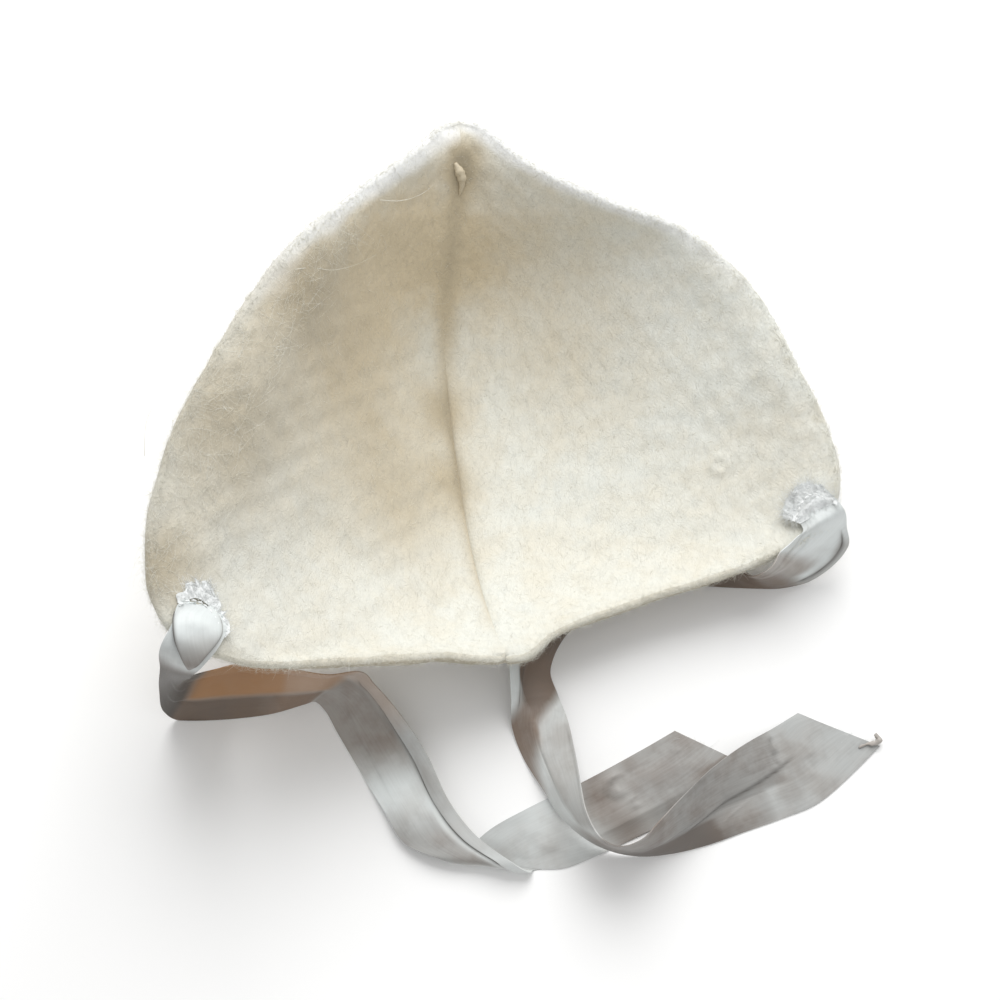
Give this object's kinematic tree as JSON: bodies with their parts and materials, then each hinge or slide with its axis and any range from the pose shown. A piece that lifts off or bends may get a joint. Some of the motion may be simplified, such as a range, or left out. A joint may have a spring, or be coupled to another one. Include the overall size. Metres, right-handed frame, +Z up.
{
  "type": "baby bonnet",
  "caption": "Soft pointed baby bonnet of thick cream felted wool, lying open on its back, with a centre seam and ribbon ties that fasten it under the chin.",
  "frame": {"origin": "on the surface the bonnet lies on, under the middle of its bounding box", "axes": "+Z up, +Y from the nape towards the peak at the forehead, +X towards the panel that lies on the surface; the bonnet lies on its back with its opening up"},
  "size_m": [0.2225, 0.2289, 0.0885],
  "materials": {
    "felt": "matt cream felted wool with short fuzz",
    "ribbon": "soft ivory satin"
  },
  "bodies": {
    "root": {"panel_left": "felt", "panel_right": "felt", "tie_left": "ribbon", "tie_right": "ribbon"}
  },
  "joints": []
}
